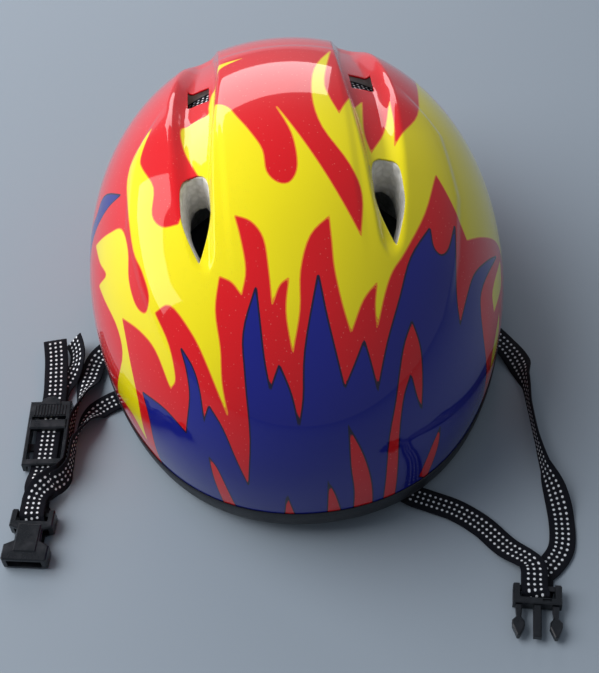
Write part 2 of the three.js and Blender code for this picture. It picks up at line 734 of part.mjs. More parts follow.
const STRAPS = {
  plug_strap_rear: [
    onWall(16, 50, 1),
    onWall(12, 34, 1),
    onWall(6, 19, 1),
    onWall(2, 11, 1),
    [82.5, -7, 7.4, 0.3, 0.95, 0],
    [92.5, -16, 5.6, 0.7, 0.7, 0],
    [103, -30, 3.2, 0.8, 0.6, 0],
    [107.6, -42, 3.4, 0.85, 0.2, 0.4],
    [108.4, -55, 5.8, 0.2, 0, 0.95],
    [107.4, -72, 6.4, 0, 0, 1],
    [107.6, -90, 6.4, 0, 0, 1],
    [109.6, -106, 5.6, 0.3, 0.1, 0.9],
    [113.4, -120, 3, 0.9, 0.2, 0.35],
    [114, -133, 0.95, 1, -0.1, 0],
    [109.5, -148, 0.95, 0.93, -0.4, 0],
    ...placed(PLUG, [
      [6.4, 12.5, 0.95, 0.95, -0.3, 0],
      [2, 7.4, 0.95, 1, 0, 0],
      [1.4, 5, 1, 1, 0, 0],
      [1.4, 3.4, 1.1, 1, 0, 0],
    ]),
  ],
  plug_strap_front: [
    onWall(-57, 50, 1),
    onWall(-59, 36, 1),
    onWall(-64, 22, 1),
    onWall(-65.5, 11.5, 1),
    [33.6, -86.2, 6.2, 0.87, 0.49, 0],
    [34, -90, 4.1, 0.95, 0.3, 0],
    [34.6, -94, 2.9, 0.97, 0.2, 0],
    [35.6, -99, 2.3, 0.95, 0.3, 0],
    [38.2, -106, 2, 0.75, 0.6, 0],
    [43, -111.5, 1.6, 0.42, 0.9, 0],
    [52.5, -116.5, 0.95, 0.35, 0.93, 0],
    [63, -122.5, 0.95, 0.55, 0.83, 0],
    [73.5, -132, 0.95, 0.72, 0.7, 0],
    [82.5, -144.5, 1.6, 0.85, 0.5, 0],
    ...placed(PLUG, [
      [-2.6, 11, 4.6, 1, 0.1, 0],
      [-1.4, 6, 5.4, 1, 0, 0],
      [-1.4, 3.2, 5.4, 1, 0, 0],
    ]),
  ],
  socket_strap_rear: [
    onWall(164, 50, -1),
    onWall(168, 34, -1),
    onWall(174, 19, -1),
    onWall(178, 11, -1),
    [-83.5, -3, 7.2, -0.3, 0.93, 0],
    [-94.5, -5.5, 6, -0.45, 0.9, 0],
    [-105.5, -12.5, 3.2, -0.75, 0.65, 0],
    [-110, -25, 2.6, -0.93, 0.3, -0.1],
    [-113.2, -38, 4.6, -0.5, 0.1, -0.8],
    ...placed(SLIDER, [
      [11.8, 6, 6.4, 0, 0, -1],
      [11.7, -8, 6.4, 0, 0, -1],
      [11.6, -21, 6.4, 0, 0, -1],
      [11.1, -28, 6.4, -0.15, 0, -0.98],
      [9.8, -35, 6.3, -0.35, 0, -0.94],
      [8.6, -40.3, 6.2, -0.5, 0, -0.87],
    ]),
  ],
  socket_strap_front: [
    onWall(-124, 48, -1, 0.7),
    onWall(-134, 37, -1, 0.8),
    onWall(-146, 25, -1, 0.7),
    onWall(-157, 14, -1, 0.4),
    onWall(-160, 5, -1),
    [-77, -33.1, 2.1, -0.25, 0.95, 0],
    [-82, -34.8, 1.9, -0.25, 0.96, 0],
    [-90, -37.5, 1.5, -0.2, 0.97, 0],
    [-97.5, -39.5, 1.3, -0.15, 0.98, 0],
    [-106, -44.5, 0.95, -0.6, 0.8, 0],
    [-111.5, -53.5, 3.2, -0.6, 0.3, -0.7],
    ...placed(SLIDER, [
      [14.2, -8, 6.4, 0, 0, -1],
      [13.5, -21, 6.4, 0, 0, -1],
      [13, -28, 6.3, -0.15, 0, -0.98],
      [11.8, -35, 6, -0.35, 0, -0.94],
      [10.5, -40.3, 5.6, -0.5, 0, -0.87],
    ]),
  ],
  tail_upper: [
    ...placed(SOCKET, [
      [-1.1, 3.2, 7.3, 1, 0, 0],
      [-1.1, 7, 7.4, 1, 0, 0],
    ]),
    ...placed(SLIDER, [
      [-1, -31, 7.6, 1, 0, 0],
      [-0.8, -27, 6.1, 1, 0, 0],
      [-0.4, -22.5, 4.1, 1, 0, 0],
      [0, -18, 3.78, 1, 0, 0],
      [0.3, 0, 3.78, 1, 0, 0],
      [0.6, 22, 3.78, 1, 0, 0],
      [0.5, 28, 3.95, 1, 0, 0],
      [0, 36, 4.7, 1, 0.05, 0],
      [-1, 47, 5.4, 1, 0.1, 0],
      [-2.8, 58, 6.6, 1, 0.15, 0],
    ]),
  ],
  tail_lower: [
    ...placed(SOCKET, [
      [-1.1, 3.2, 5.85, 1, 0, 0],
      [-1.1, 7, 5.85, 1, 0, 0],
    ]),
    ...placed(SLIDER, [
      [-0.6, -31, 6.05, 1, 0, 0],
      [-0.2, -27, 4.55, 1, 0, 0],
      [0.5, -22.5, 2.6, 1, 0, 0],
      [1.1, -18, 2.36, 1, 0, 0],
      [1.4, 0, 2.36, 1, 0, 0],
      [1.8, 27, 2.36, 1, 0, 0],
      [5.8, 36, 2.3, 0.99, 0, 0.12],
      [9.6, 44, 4.4, 0.78, 0, 0.62],
      [9.2, 52, 5.2, 0.72, 0, 0.7],
      [6.6, 59, 5.4, 0.72, 0.15, 0.68],
    ]),
  ],
};

addMesh('rear_strap_bridge', ribbon(rearBridge, { steps: 1 }), 'webbing');
addMesh('front_strap_bridge', ribbon(frontBridge, { steps: 1 }), 'webbing');
addMesh('plug_strap_loop', ribbon(placed(PLUG, bar(5.4, 1.1, 1.3, -5))), 'webbing');
addMesh('socket_strap_loop', ribbon(placed(SOCKET, bar(6.5, 1.5, 1.1, -5)), { thickness: 2 }), 'webbing');
for (const [name, rows] of Object.entries(STRAPS)) {
  addMesh(name, ribbon(rows), 'webbing');
}

// The dome is drawn about its widest line, which lies in front of the middle of its length.
group.position.y = -(DOME.rearLength - DOME.frontLength) / 2;

export default group;
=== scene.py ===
import math

import bmesh
import bpy
import numpy as np
from mathutils import Matrix, Vector


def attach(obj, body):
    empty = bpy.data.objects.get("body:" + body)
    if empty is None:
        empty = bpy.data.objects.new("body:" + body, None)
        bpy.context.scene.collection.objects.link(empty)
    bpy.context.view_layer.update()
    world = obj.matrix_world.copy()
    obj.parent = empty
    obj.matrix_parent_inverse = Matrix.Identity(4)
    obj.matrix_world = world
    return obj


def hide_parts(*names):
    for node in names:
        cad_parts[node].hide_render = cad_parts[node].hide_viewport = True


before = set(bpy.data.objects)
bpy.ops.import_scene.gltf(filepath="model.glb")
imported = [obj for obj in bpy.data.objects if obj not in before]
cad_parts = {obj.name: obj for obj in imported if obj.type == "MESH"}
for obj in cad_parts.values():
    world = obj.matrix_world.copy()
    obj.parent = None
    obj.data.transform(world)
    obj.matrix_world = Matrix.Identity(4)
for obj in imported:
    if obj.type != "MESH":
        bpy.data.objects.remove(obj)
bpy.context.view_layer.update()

# A child's cycling helmet with a flame pattern, standing on its rim. Shapes are worked out in
# millimetres about the dome's widest line and moved into the frame, in metres, when a mesh is made.
# The floor's height, the camera's distance and the lights' places and sizes are in metres. Angles are in
# degrees, apart from those that a docstring gives in radians.

MM = 0.001
SHIFT_Y = -3.0
FLOOR = -0.0002
FLOOR_HALF = 2
CAMERA = {"elevation": 50.69, "azimuth": -1.18, "roll": -4.55, "target": (-1.4, -27.3, 20), "distance": 0.68}
LENS, SENSOR = 72.4, 36

# The dome is a superellipsoid with this power, and widens to the rear by the egg's share at its length.
DOME = {"half_width": 103, "front": 130, "rear": 136, "crown": 106, "lower": 130, "centre_z": 36}
POWER = 2.05
EGG = {"share": 0.05, "length": 130}
CAVITY = {"half_width": 80, "half_length": 100, "crown": 81, "centre_y": 1}
RIM = {"brow_rise": 10, "brow_half": 44, "ear_rise": 12, "ear_centre": -4, "ear_half": 34}
SHELL_EDGE = 11.3
SHELL_THICKNESS = 0.9

# Channel rows: angle back from straight up, inner edge, outer edge, depth.
CHANNEL = np.array([
    [-40, 39.6, 40.6, 0.2],
    [-36, 36.6, 44.5, 2.0],
    [-27, 35.0, 48.5, 3.6],
    [-12, 33.8, 51.6, 5.2],
    [6, 31.6, 52.6, 7.2],
    [22, 29.4, 52.6, 9.0],
    [36, 28.4, 50.5, 9.6],
    [50, 29.0, 47.5, 7.5],
    [66, 33.0, 41.0, 0.2],
])
CROWN_VENT = {"centre": 42.6, "half": 6.7, "front": -36, "rear": -9}
REAR_VENT = {"inner": 34, "outer": 44.5, "front": 25, "rear": 35}
VENT_MM_PER_DEGREE = 1.9

# What stands proud between and beside the channels, and the shoulders' crease on the flames' map.
BLOCK_RISE = 0.6
SHOULDER_RISE = 1.3
CREASE = [(32, 21), (43, 7), (46, -14), (43, -32), (38, -50)]

WEB_WIDTH = 12.0
WEB_THICKNESS = 1.1
PLY_THICKNESS = 1.0
TABLE_GAP = 0.3
WALL_GAP = 2.0

# The webbing's woven dots: half their spacing along it and across it, their radius, and where they end.
DOT = {"along": 1.3, "across": 1.35, "radius": 0.6, "outermost": 3.8}

# The band over the foam: its plane, how far under the dome it runs at the crown and at the sides, the angles
# between which it rises, where it turns down, and its mouth in the cavity's wall.
REAR_BRIDGE = {"y": 50.5, "sunk": 12.9, "near": 2.9, "sink": 37, "rise": 52, "end": 71}
BRIDGE_MOUTH = {"degrees": 16.5, "z": 55.0, "inset": 0.4}

# Direction round from +X, half the spread, lowest and highest point of each pad on the cavity's wall.
PADS = {
    "brow_pad": (-90, 17, 20, 44),
    "rear_pad": (90, 20, 26, 58),
    "left_side_pad": (-12, 18, 64, 90),
    "right_side_pad": (192, 18, 64, 90),
}
PAD_NEAR, PAD_FAR, PAD_WELD = 2.1, 8, 0.12
CROWN_PAD = {"radius": 30, "near": 1.9, "far": 7.9}

# Middle of each buckle piece's bar or frame, and how far it is turned.
SLIDER = ((-130, -58.5), -5)
SOCKET = ((-134, -103), -9)
PLUG = ((92.5, -167), -10.8)


# ---------------------------------------------------------------- camera, floor and light

def add_camera():
    """Looks down on the brow from the front, a little tilted."""
    elevation, azimuth, roll = (math.radians(CAMERA[name]) for name in ("elevation", "azimuth", "roll"))
    back = Vector((
        math.sin(azimuth) * math.cos(elevation),
        -math.cos(azimuth) * math.cos(elevation),
        math.sin(elevation),
    ))
    level = Vector((math.cos(azimuth), math.sin(azimuth), 0))
    upright = back.cross(level)
    right = level * math.cos(roll) + upright * math.sin(roll)
    up = upright * math.cos(roll) - level * math.sin(roll)
    eye = Vector(CAMERA["target"]) * MM + back * CAMERA["distance"]
    camera = bpy.data.objects.new("camera", bpy.data.cameras.new("camera"))
    bpy.context.scene.collection.objects.link(camera)
    turn = Matrix((right, up, back)).transposed().to_4x4()
    camera.matrix_world = Matrix.Translation(eye) @ turn
    camera.data.lens = LENS
    camera.data.sensor_width = SENSOR
    bpy.context.scene.camera = camera


def add_light(name, place, target, size, power, colour, mirrored=True):
    """A soft rectangular lamp. One that isn't mirrored lights the scene but shows in no reflection."""
    lamp = bpy.data.lights.new(name, "AREA")
    lamp.shape = "RECTANGLE"
    lamp.size, lamp.size_y = size
    lamp.energy = power
    lamp.color = colour
    light = bpy.data.objects.new(name, lamp)
    bpy.context.scene.collection.objects.link(light)
    light.location = place
    light.visible_glossy = mirrored
    light.rotation_euler = (Vector(target) - Vector(place)).to_track_quat("-Z", "Y").to_euler()


def add_surroundings():
    world = bpy.data.worlds.new("studio")
    bpy.context.scene.world = world
    world.use_nodes = True
    sky = world.node_tree.nodes["Background"]
    sky.inputs["Color"].default_value = (0.72, 0.8, 0.92, 1)
    sky.inputs["Strength"].default_value = 0.33
    add_light("side_window", (-1.7, 0.5, 0.6), (0, 0, 0.05), (1.6, 0.6), 7, (1.0, 0.97, 0.98))
    add_light("rear_window", (-0.3, 1.9, 0.8), (0, 0, 0.1), (1.8, 0.75), 14, (1.0, 0.95, 0.97))
    add_light(
        "daylight", (-1.3, 0.4, 1.5), (0, 0, 0.05), (2.0, 1.6), 52, (0.97, 0.98, 1.0), mirrored=False
    )
    bpy.context.scene.view_settings.view_transform = "Standard"
    corners = [(x * FLOOR_HALF, y * FLOOR_HALF, FLOOR) for x, y in ((-1, -1), (1, -1), (1, 1), (-1, 1))]
    floor = mesh_object("floor", corners, [(0, 1, 2, 3)], scale=1)
    floor.data.materials.append(floor_material())


# ---------------------------------------------------------------- mesh helpers

def mesh_object(name, points, faces, scale=MM):
    """A smooth mesh from points in millimetres about the dome's widest line, or in metres if scale is 1."""
    points = np.asarray(points, dtype=float)
    if scale == MM:
        points = (points + [0, SHIFT_Y, 0]) * MM
    mesh = bpy.data.meshes.new(name)
    mesh.from_pydata(points.tolist(), [], [tuple(int(i) for i in face) for face in faces])
    mesh.validate()
    mesh.polygons.foreach_set("use_smooth", [True] * len(mesh.polygons))
    piece = bpy.data.objects.new(name, mesh)
    bpy.context.scene.collection.objects.link(piece)
    return piece


def add_attribute(piece, name, values):
    layer = piece.data.attributes.new(name, "FLOAT", "POINT")
    layer.data.foreach_set("value", np.asarray(values, dtype=np.float32))


def grid_faces(rows, columns, closed_rows=False, closed_columns=False):
    """Quads over a grid of points kept row by row."""
    i = np.arange(rows if closed_rows else rows - 1)[:, None]
    j = np.arange(columns if closed_columns else columns - 1)[None, :]
    down, across = (i + 1) % rows, (j + 1) % columns
    corners = [i * columns + j, i * columns + across, down * columns + across, down * columns + j]
    return np.stack([np.broadcast_to(c, (i.size, j.size)) for c in corners], axis=-1).reshape(-1, 4)


def smoothstep(x, low, high):
    t = np.clip((x - low) / (high - low), 0, 1)
    return t * t * (3 - 2 * t)


def clip(points, triangles, keep):
    """Cuts away the part of a triangle mesh where keep is negative, carrying every column of points along."""
    values = keep(points)
    inside = values[triangles] >= 0
    whole = triangles[inside.all(axis=1)]
    mixed = triangles[inside.any(axis=1) & ~inside.all(axis=1)]
    extra, cache, new = [], {}, []

    def crossing(a, b):
        key = (min(a, b), max(a, b))
        if key not in cache:
            t = values[key[0]] / (values[key[0]] - values[key[1]])
            extra.append(points[key[0]] * (1 - t) + points[key[1]] * t)
            cache[key] = len(points) + len(extra) - 1
        return cache[key]

    for triangle in mixed.tolist():
        ring = []
        for a, b in zip(triangle, triangle[1:] + triangle[:1]):
            if values[a] >= 0:
                ring.append(a)
            if (values[a] >= 0) != (values[b] >= 0):
                ring.append(crossing(a, b))
        new += [[ring[0], ring[k], ring[k + 1]] for k in range(1, len(ring) - 1)]
    points = np.vstack([points, np.array(extra).reshape(-1, points.shape[1])])
    triangles = np.vstack([whole, np.array(new, dtype=int).reshape(-1, 3)])
    used = np.unique(triangles)
    place = np.zeros(len(points), dtype=int)
    place[used] = np.arange(len(used))
    return points[used], place[triangles]


# ---------------------------------------------------------------- the dome's surface

def dome_point(alpha, theta, inset=0.0):
    """Surface point at angle alpha from straight up and theta round from +X, in radians."""
    alpha, theta = np.broadcast_arrays(np.asarray(alpha, float), np.asarray(theta, float))
    way = np.stack([np.sin(alpha) * np.cos(theta), np.sin(alpha) * np.sin(theta), np.cos(alpha)], axis=-1)
    half = np.stack([
        np.full(alpha.shape, DOME["half_width"]),
        np.where(way[..., 1] < 0, DOME["front"], DOME["rear"]),
        np.where(way[..., 2] > 0, DOME["crown"], DOME["lower"]),
    ], axis=-1).astype(float)
    reach = ((np.abs(way) / half) ** POWER).sum(axis=-1) ** (-1 / POWER)
    point = way * reach[..., None]
    normal = np.sign(point) * np.abs(point / half) ** (POWER - 1) / half
    normal /= np.linalg.norm(normal, axis=-1, keepdims=True)
    point[..., 0] *= 1 + EGG["share"] * point[..., 1] / EGG["length"]
    point[..., 2] += DOME["centre_z"]
    return point - normal * inset


def rim_height(theta):
    """Height of the rim's lower edge: flat at the rear and the temples, raised over the brow and the ears."""
    degrees = np.degrees(theta)

    def bump(centre, half, rise):
        away = np.abs((degrees - centre + 180) % 360 - 180)
        return np.where(away < half, rise * np.cos(np.minimum(away / half, 1) * np.pi / 2) ** 2, 0)

    return (
        bump(-90, RIM["brow_half"], RIM["brow_rise"])
        + bump(RIM["ear_centre"], RIM["ear_half"], RIM["ear_rise"])
        + bump(180 - RIM["ear_centre"], RIM["ear_half"], RIM["ear_rise"])
    )


def wall_point(theta, z, inset):
    """Point on the dome's lower wall at a height, for arrays of theta and z."""
    low, high = np.full(theta.shape, 0.9), np.full(theta.shape, 2.2)
    for _ in range(30):
        middle = (low + high) / 2
        above = dome_point(middle, theta, inset)[..., 2] > z
        low, high = np.where(above, middle, low), np.where(above, high, middle)
    return dome_point((low + high) / 2, theta, inset)


def cavity_point(theta, z, inset):
    up = np.maximum(0, z - DOME["centre_z"]) / CAVITY["crown"]
    shrink = np.sqrt(np.maximum(0, 1 - up * up))
    x = CAVITY["half_width"] * shrink * np.cos(theta)
    y = CAVITY["half_length"] * shrink * np.sin(theta)
    lift = np.maximum(0, z - DOME["centre_z"]) / CAVITY["crown"] ** 2
    way = np.stack([x / CAVITY["half_width"] ** 2, y / CAVITY["half_length"] ** 2, lift + 0 * x], axis=-1)
    way /= np.linalg.norm(way, axis=-1, keepdims=True)
    return np.stack([x, y + CAVITY["centre_y"], z + 0 * x], axis=-1) - way * np.expand_dims(inset, -1)


# ---------------------------------------------------------------- outer shell

def eased_rows(beta, column):
    """A channel column at angles in degrees, on a smooth curve through its rows."""
    x, y = CHANNEL[:, 0], CHANNEL[:, column]
    slope = np.gradient(y, x)
    k = np.clip(np.searchsorted(x, beta) - 1, 0, len(x) - 2)
    width = x[k + 1] - x[k]
    t = np.clip((beta - x[k]) / width, 0, 1)
    curve = (2 * t**3 - 3 * t**2 + 1) * y[k] + (t**3 - 2 * t**2 + t) * width * slope[k]
    return curve + (3 * t**2 - 2 * t**3) * y[k + 1] + (t**3 - t**2) * width * slope[k + 1]


def channel_depth(x, beta):
    """How far the shell is sunk at |x| and angle beta: a steep inner wall, a floor and a slow rise."""
    inner, outer, depth = (eased_rows(beta, column) for column in (1, 2, 3))
    width = np.maximum(outer - inner, 1)
    wall = smoothstep(x, inner - 0.6, inner + np.minimum(2.6, width * 0.25))
    rise = 1 - smoothstep(x, outer - np.minimum(9, width * 0.5), outer + 1.2)
    ends = smoothstep(beta, -40, -34) * (1 - smoothstep(beta, 56, 66))
    return np.maximum(depth, 0) * wall * rise * ends


def polyline_distance(u, v, line):
    """Distance to a polyline, and which side: positive on its left."""
    best, side = np.full(u.shape, 1e9), np.zeros(u.shape)
    for (au, av), (bu, bv) in zip(line, line[1:]):
        du, dv = bu - au, bv - av
        t = np.clip(((u - au) * du + (v - av) * dv) / (du * du + dv * dv), 0, 1)
        away = np.hypot(u - au - t * du, v - av - t * dv)
        nearer = away < best
        side = np.where(nearer, np.sign(du * (v - av) - dv * (u - au)), side)
        best = np.where(nearer, away, best)
    return best, side


def relief(point, u, v):
    """How far each point is pressed in: the two channels, less the raised centre block and shoulders."""
    beta = np.degrees(np.arctan2(point[:, 1], point[:, 2] - DOME["centre_z"]))
    x = np.abs(point[:, 0])
    block = (1 - smoothstep(x, 27, 31)) * smoothstep(beta, -44, -18) * (1 - smoothstep(beta, 35, 38.5))
    away, side = polyline_distance(np.abs(u), v, CREASE)
    shoulder = smoothstep(-away * side, -1.2, 0.6) * (1 - smoothstep(away, 2, 15)) * (np.abs(u) > 20)
    shoulder *= smoothstep(v, -48, -34) * (1 - smoothstep(v, 10, 24))
    return channel_depth(x, beta) - BLOCK_RISE * block - SHOULDER_RISE * shoulder


def crown_vent_field(points):
    """Negative inside the crown vents' outline: blunt at the rear and pointed in front."""
    x, beta = points[:, 5], points[:, 6]
    along = beta - (CROWN_VENT["front"] + CROWN_VENT["rear"]) / 2
    along = along / ((CROWN_VENT["rear"] - CROWN_VENT["front"]) / 2)
    blunt = (1 - np.clip(along, 0, 1) ** 5) ** 0.45
    pointed = 1 - np.clip(-along, 0, 1) ** 1.45
    half = CROWN_VENT["half"] * np.where(along > 0, blunt, pointed)
    return np.where(np.abs(along) < 1, np.abs(x - CROWN_VENT["centre"]) - half, 1.0)


def rear_vent_field(points):
    """Negative inside the rear vents' outline: four straight sides, two of them slanted."""
    x, beta = points[:, 5], points[:, 6]
    inner, outer = REAR_VENT["inner"], REAR_VENT["outer"]
    slant = 1.5 * (x - inner) / (outer - inner)
    front = (REAR_VENT["front"] + slant - beta) * VENT_MM_PER_DEGREE
    rear = (beta - slant - REAR_VENT["rear"]) * VENT_MM_PER_DEGREE
    return np.max([inner - x, x - outer, front, rear], axis=0)


def above_rim(points):
    """Positive above the shell's lower edge."""
    return points[:, 2] - SHELL_EDGE - rim_height(np.arctan2(points[:, 1], points[:, 0]))


def build_shell():
    """The glossy skin: a fine dome, sunk along its channels and cut at the vents and the rim."""
    around, down = ((600, 230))
    alpha = np.radians(np.linspace(0.4, 118, down))
    theta = np.linspace(0, 2 * np.pi, around, endpoint=False)
    point = dome_point(alpha[:, None], theta[None, :]).reshape(-1, 3)
    centred = point - [0, 0, DOME["centre_z"]]
    tilt = np.degrees(np.arctan2(np.hypot(centred[:, 0], centred[:, 1]), centred[:, 2]))
    turn = np.arctan2(centred[:, 1], centred[:, 0])
    u, v = tilt * np.cos(turn), tilt * np.sin(turn)
    beta = np.arctan2(centred[:, 1], centred[:, 2])
    drop = relief(point, u, v)
    sunk = point - drop[:, None] * np.stack([0 * beta, np.sin(beta), np.cos(beta)], axis=-1)
    columns = np.column_stack([sunk, u, v, np.abs(point[:, 0]), np.degrees(beta)])
    quads = grid_faces(down, around, closed_columns=True)
    triangles = np.vstack([quads[:, [0, 2, 1]], quads[:, [0, 3, 2]]])
    top = columns[:around].mean(axis=0)
    columns = np.vstack([columns, top])
    cap = np.array([[len(columns) - 1, j, (j + 1) % around] for j in range(around)])
    triangles = np.vstack([triangles, cap])
    for keep in (above_rim, crown_vent_field, rear_vent_field):
        columns, triangles = clip(columns, triangles, keep)
    shell = mesh_object("flame_shell", columns[:, :3], triangles)
    yellow, blue = flame_fields(columns[:, 3], columns[:, 4])
    add_attribute(shell, "yellow_depth", yellow)
    add_attribute(shell, "blue_depth", blue)
    skin = shell.modifiers.new("skin", "SOLIDIFY")
    skin.thickness = SHELL_THICKNESS * MM
    skin.offset = -1
    shell.data.materials.append(shell_material())
    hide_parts("outer_shell")
    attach(shell, "helmet")


# ---------------------------------------------------------------- flames

# Outlines on a map of the dome, in degrees from the crown: to the wearer's left, and to the rear.
# A third value marks a sharp tip; the curve runs smoothly through the other points.
S = 1
YELLOW = [
    [
        (-22, -67, S), (-22, -60), (-21, -53), (-21, -45), (-19, -38, S), (-16, -40), (-14, -43, S),
        (-12.5, -38), (-13, -31), (-14, -25, S), (-10, -27.5), (-7.5, -32), (-7, -39), (-7, -46, S),
        (-5, -42.5), (-2.5, -41, S), (-4, -48), (-3.5, -56, S), (-1, -48), (0, -40), (3, -32.5),
        (8, -28, S), (8, -34), (8, -40), (9, -47), (10.5, -53, S), (14, -46.5), (18, -42.5, S),
        (17, -47.5), (17, -52, S), (19.5, -45), (22, -40), (26, -35), (33, -24), (38.5, -10.5, S),
        (42, -16), (48, -26, S), (58, -20), (70, -14), (82, -14), (98, -8, S), (88, 4), (78, 12),
        (66, 20), (54, 28), (47, 32), (40, 39.5, S), (38.5, 25), (36, 10), (30, 0, S), (27, -4.5, S),
        (28, 4), (28, 14, S), (25, 2), (20.5, -7.5, S), (19.5, 1), (20.5, 16, S), (17, 9.5),
        (13.5, 2, S), (11.5, 9), (11, 16), (14, 33, S), (9, 21), (7.5, 8.5), (9, -3), (14.5, -14.5),
        (16.5, -22.5), (15, -33, S), (10, -21.5), (5, -10), (-1.5, 5, S), (1.5, -5), (2, -14.5),
        (0, -19), (-3, -19), (-5.5, -15.5), (-6, -9), (-8.5, -2.5), (-11.5, 4), (-13.5, 8.5),
        (-17, 12, S), (-17, 21), (-15, 28), (-9, 31, S), (-16.5, 30), (-18.5, 21), (-19, 16),
        (-23.5, 14.5), (-26.5, 11.5), (-26, 3), (-23.5, -5.5), (-22, -10, S), (-28.5, -22.5, S),
        (-33.5, -21), (-36.5, -16), (-35.5, -8), (-39, 1), (-39.5, 6), (-35.5, 15, S), (-42, 10),
        (-45, 2.5), (-45, -8), (-44, -22), (-41.5, -29), (-40, -36), (-42.5, -39.5), (-46, -36),
        (-47.5, -28.5), (-46.5, -20.5), (-48.5, -12.5), (-54.5, -9), (-65, -4, S), (-62.5, -13),
        (-59, -20), (-65.5, -19, S), (-62.5, -26), (-57, -38), (-59.5, -46), (-77, -50, S),
        (-68, -60), (-66.5, -69.5, S), (-57, -58), (-54, -45), (-53.5, -36, S), (-46, -42.5),
        (-41, -49), (-38.5, -58.5, S), (-36, -56.5), (-36, -49), (-39, -40.5, S), (-33.5, -40.5),
        (-28.5, -47.5), (-25.5, -54.5),
    ],
    [(72, -19, S), (63, -34), (65, -40, S), (73, -27)],
    [(72, -37, S), (69.5, -50), (73.5, -56, S), (77, -46)],
    [(-94, 10, S), (-80, 22), (-66, 44, S), (-72, 28), (-84, 12), (-98, -4, S), (-100, 4)],
    [(-60, 92, S), (-54, 76), (-40, 58, S), (-42, 74), (-36, 90), (-28, 78), (-24, 62, S), (-20, 80),
     (-12, 92), (-4, 78), (2, 58, S), (6, 76), (14, 92), (22, 80), (27, 64, S), (32, 80), (40, 90),
     (46, 76), (50, 60, S), (58, 78), (66, 94, S), (50, 112), (0, 122), (-50, 112)],
]
BLUE = [
    [
        (-62, -74.5, S), (-54, -64.5), (-52, -57, S), (-43.5, -63), (-37.5, -70, S), (-32.5, -62),
        (-31.5, -56), (-32, -51, S), (-29.5, -56), (-29, -61.5), (-30, -68, S), (-27, -64.5, S),
        (-24.5, -70), (-23, -77.5), (-21.5, -86, S), (-17, -73), (-15.5, -60), (-14.5, -51),
        (-10.5, -42.5, S), (-10.5, -49), (-10.5, -57), (-10, -63.5, S), (-7, -58.5, S), (-5, -64.5),
        (-4, -72, S), (-2, -65.5), (-0.5, -56), (4, -41.5, S), (5, -49.5), (6.5, -57.5), (8, -64.5, S),
        (11, -59.5), (13.5, -55, S), (15, -60), (16.5, -65.5, S), (19.5, -55.5), (23.5, -46),
        (27.5, -36.5), (34, -28, S), (34.5, -32.5), (37, -34), (40, -31.5), (43, -24.5, S), (42, -36),
        (42, -43.5), (43.5, -50, S), (46.5, -42.5), (50.5, -35), (57.5, -28.5), (67, -21, S),
        (55.5, -35.5), (54, -43), (58.5, -51.5), (68, -59.5, S), (80, -75), (60, -105), (0, -118),
        (-70, -96),
    ],
    [(-64.5, 8.5), (-58, 10), (-48.5, 0, S), (-57, 2), (-72, 2), (-84, -6, S), (-78, 10)],
    [(-52, 100, S), (-46, 86), (-40, 74, S), (-36, 92), (-30, 98), (-25, 84), (-22, 74, S), (-16, 94),
     (-8, 100), (-1, 84), (2, 72, S), (8, 90), (16, 100), (23, 88), (27, 78, S), (33, 94), (42, 98),
     (47, 86), (50, 76, S), (58, 98, S), (44, 116), (0, 124), (-44, 116)],
]
RED_IN_BLUE = [
    [(-32, -76, S), (-30, -81), (-30, -94, S), (-36, -96, S), (-34, -84)],
    [(-10, -87.5, S), (-8, -102, S), (-14.5, -102, S)],
    [(2.5, -85, S), (5, -90), (8.5, -102, S), (1.5, -102, S)],
    [(8.5, -71.5, S), (13, -79), (16.5, -88), (19, -99, S), (11, -100, S), (10.5, -90), (9, -81.5)],
    [(26.5, -50, S), (29, -55.5), (30, -62), (30.5, -70.5, S), (28, -66.5), (26, -62, S), (24, -68),
     (24, -79), (28, -99, S), (22.5, -100, S), (20, -79), (21.5, -67), (23.5, -56.5)],
    [(39.5, -74, S), (41.5, -80.5), (42, -92, S), (36, -90, S), (37.5, -80)],
]


def smooth_outline(points, steps=4):
    """A closed outline with a curve between its points that stops at each sharp tip."""
    count = len(points)
    outline = []
    for k in range(count):
        a, b = np.array(points[k][:2], float), np.array(points[(k + 1) % count][:2], float)
        before = a * 2 - b if len(points[k]) > 2 else np.array(points[k - 1][:2], float)
        sharp_end = len(points[(k + 1) % count]) > 2
        after = b * 2 - a if sharp_end else np.array(points[(k + 2) % count][:2], float)
        for t in np.arange(steps) / steps:
            outline.append(
                0.5 * (2 * a + (b - before) * t + (2 * before - 5 * a + 4 * b - after) * t**2
                       + (3 * a - before - 3 * b + after) * t**3)
            )
    return outline


def depth_inside(u, v, points):
    """Distance to an outline in degrees, positive inside it."""
    outline = smooth_outline(points)
    best, odd = np.full(u.shape, 1e9), np.zeros(u.shape, dtype=bool)
    for (au, av), (bu, bv) in zip(outline, outline[1:] + outline[:1]):
        du, dv = bu - au, bv - av
        t = np.clip(((u - au) * du + (v - av) * dv) / max(du * du + dv * dv, 1e-9), 0, 1)
        best = np.minimum(best, (u - au - t * du) ** 2 + (v - av - t * dv) ** 2)
        if av != bv:
            odd ^= ((av > v) != (bv > v)) & (u < au + (v - av) * du / dv)
    return np.where(odd, 1, -1) * np.sqrt(best)


def flame_fields(u, v):
    """How deep each point is inside the yellow and the blue, in degrees, negative outside."""
    yellow, blue, islands = (
        np.max([depth_inside(u, v, outline) for outline in outlines], axis=0)
        for outlines in (YELLOW, BLUE, RED_IN_BLUE)
    )
    return yellow, np.minimum(blue, -islands)


# ---------------------------------------------------------------- edge trim

def facing(make, bearing):
    """The points of make(theta) that lie on given bearings from the middle."""
    theta = bearing.copy()
    for _ in range(6):
        point = make(theta)
        off = bearing - np.arctan2(point[:, 1], point[:, 0])
        theta += (off + np.pi) % (2 * np.pi) - np.pi
    return make(theta)


